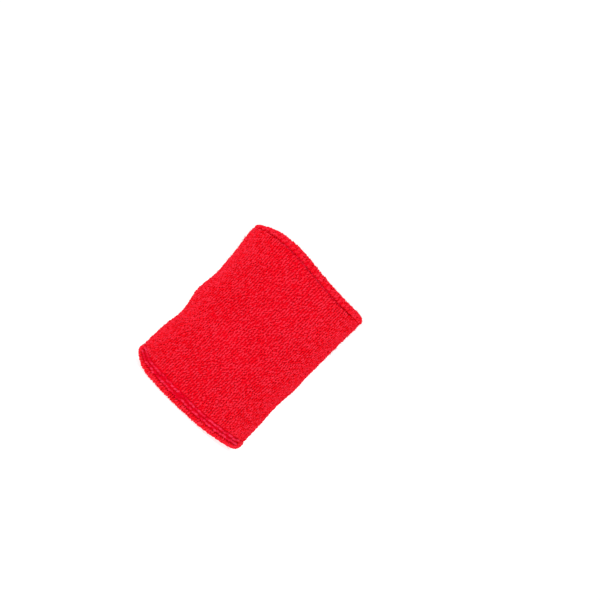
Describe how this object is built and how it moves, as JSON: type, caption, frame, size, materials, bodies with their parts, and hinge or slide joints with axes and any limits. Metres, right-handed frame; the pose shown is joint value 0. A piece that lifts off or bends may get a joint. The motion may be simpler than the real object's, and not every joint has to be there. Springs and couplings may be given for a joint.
{
  "type": "wristband",
  "caption": "Stretch terry wristband: a knitted tube turned double, with looped pile on both faces, rolled edges, elastic yarns inside and a hidden overlock seam.",
  "frame": {"origin": "centre of the wrist opening, on the face of the elbow edge that the band stands on", "axes": "+Z along the arm towards the hand edge, +X across the wrist's width, +Y from its front to its back"},
  "size_m": [0.066, 0.054, 0.086],
  "materials": {
    "terry_pile": "looped red cotton terry, matt",
    "ground_knit": "red plain knit, matt",
    "elastic_yarn": "red covered elastic yarn",
    "sewing_thread": "red spun polyester thread, slight sheen"
  },
  "bodies": {
    "root": {"ground_fabric": "ground_knit", "outer_pile": "terry_pile", "hand_edge_pile": "terry_pile", "elbow_edge_pile": "terry_pile", "inner_pile_upper": "terry_pile", "inner_pile_lower": "terry_pile", "outer_elastic_yarns": "elastic_yarn", "inner_elastic_yarns": "elastic_yarn", "seam_needle_thread": "sewing_thread", "seam_upper_looper_thread": "sewing_thread", "seam_lower_looper_thread": "sewing_thread"}
  },
  "joints": []
}
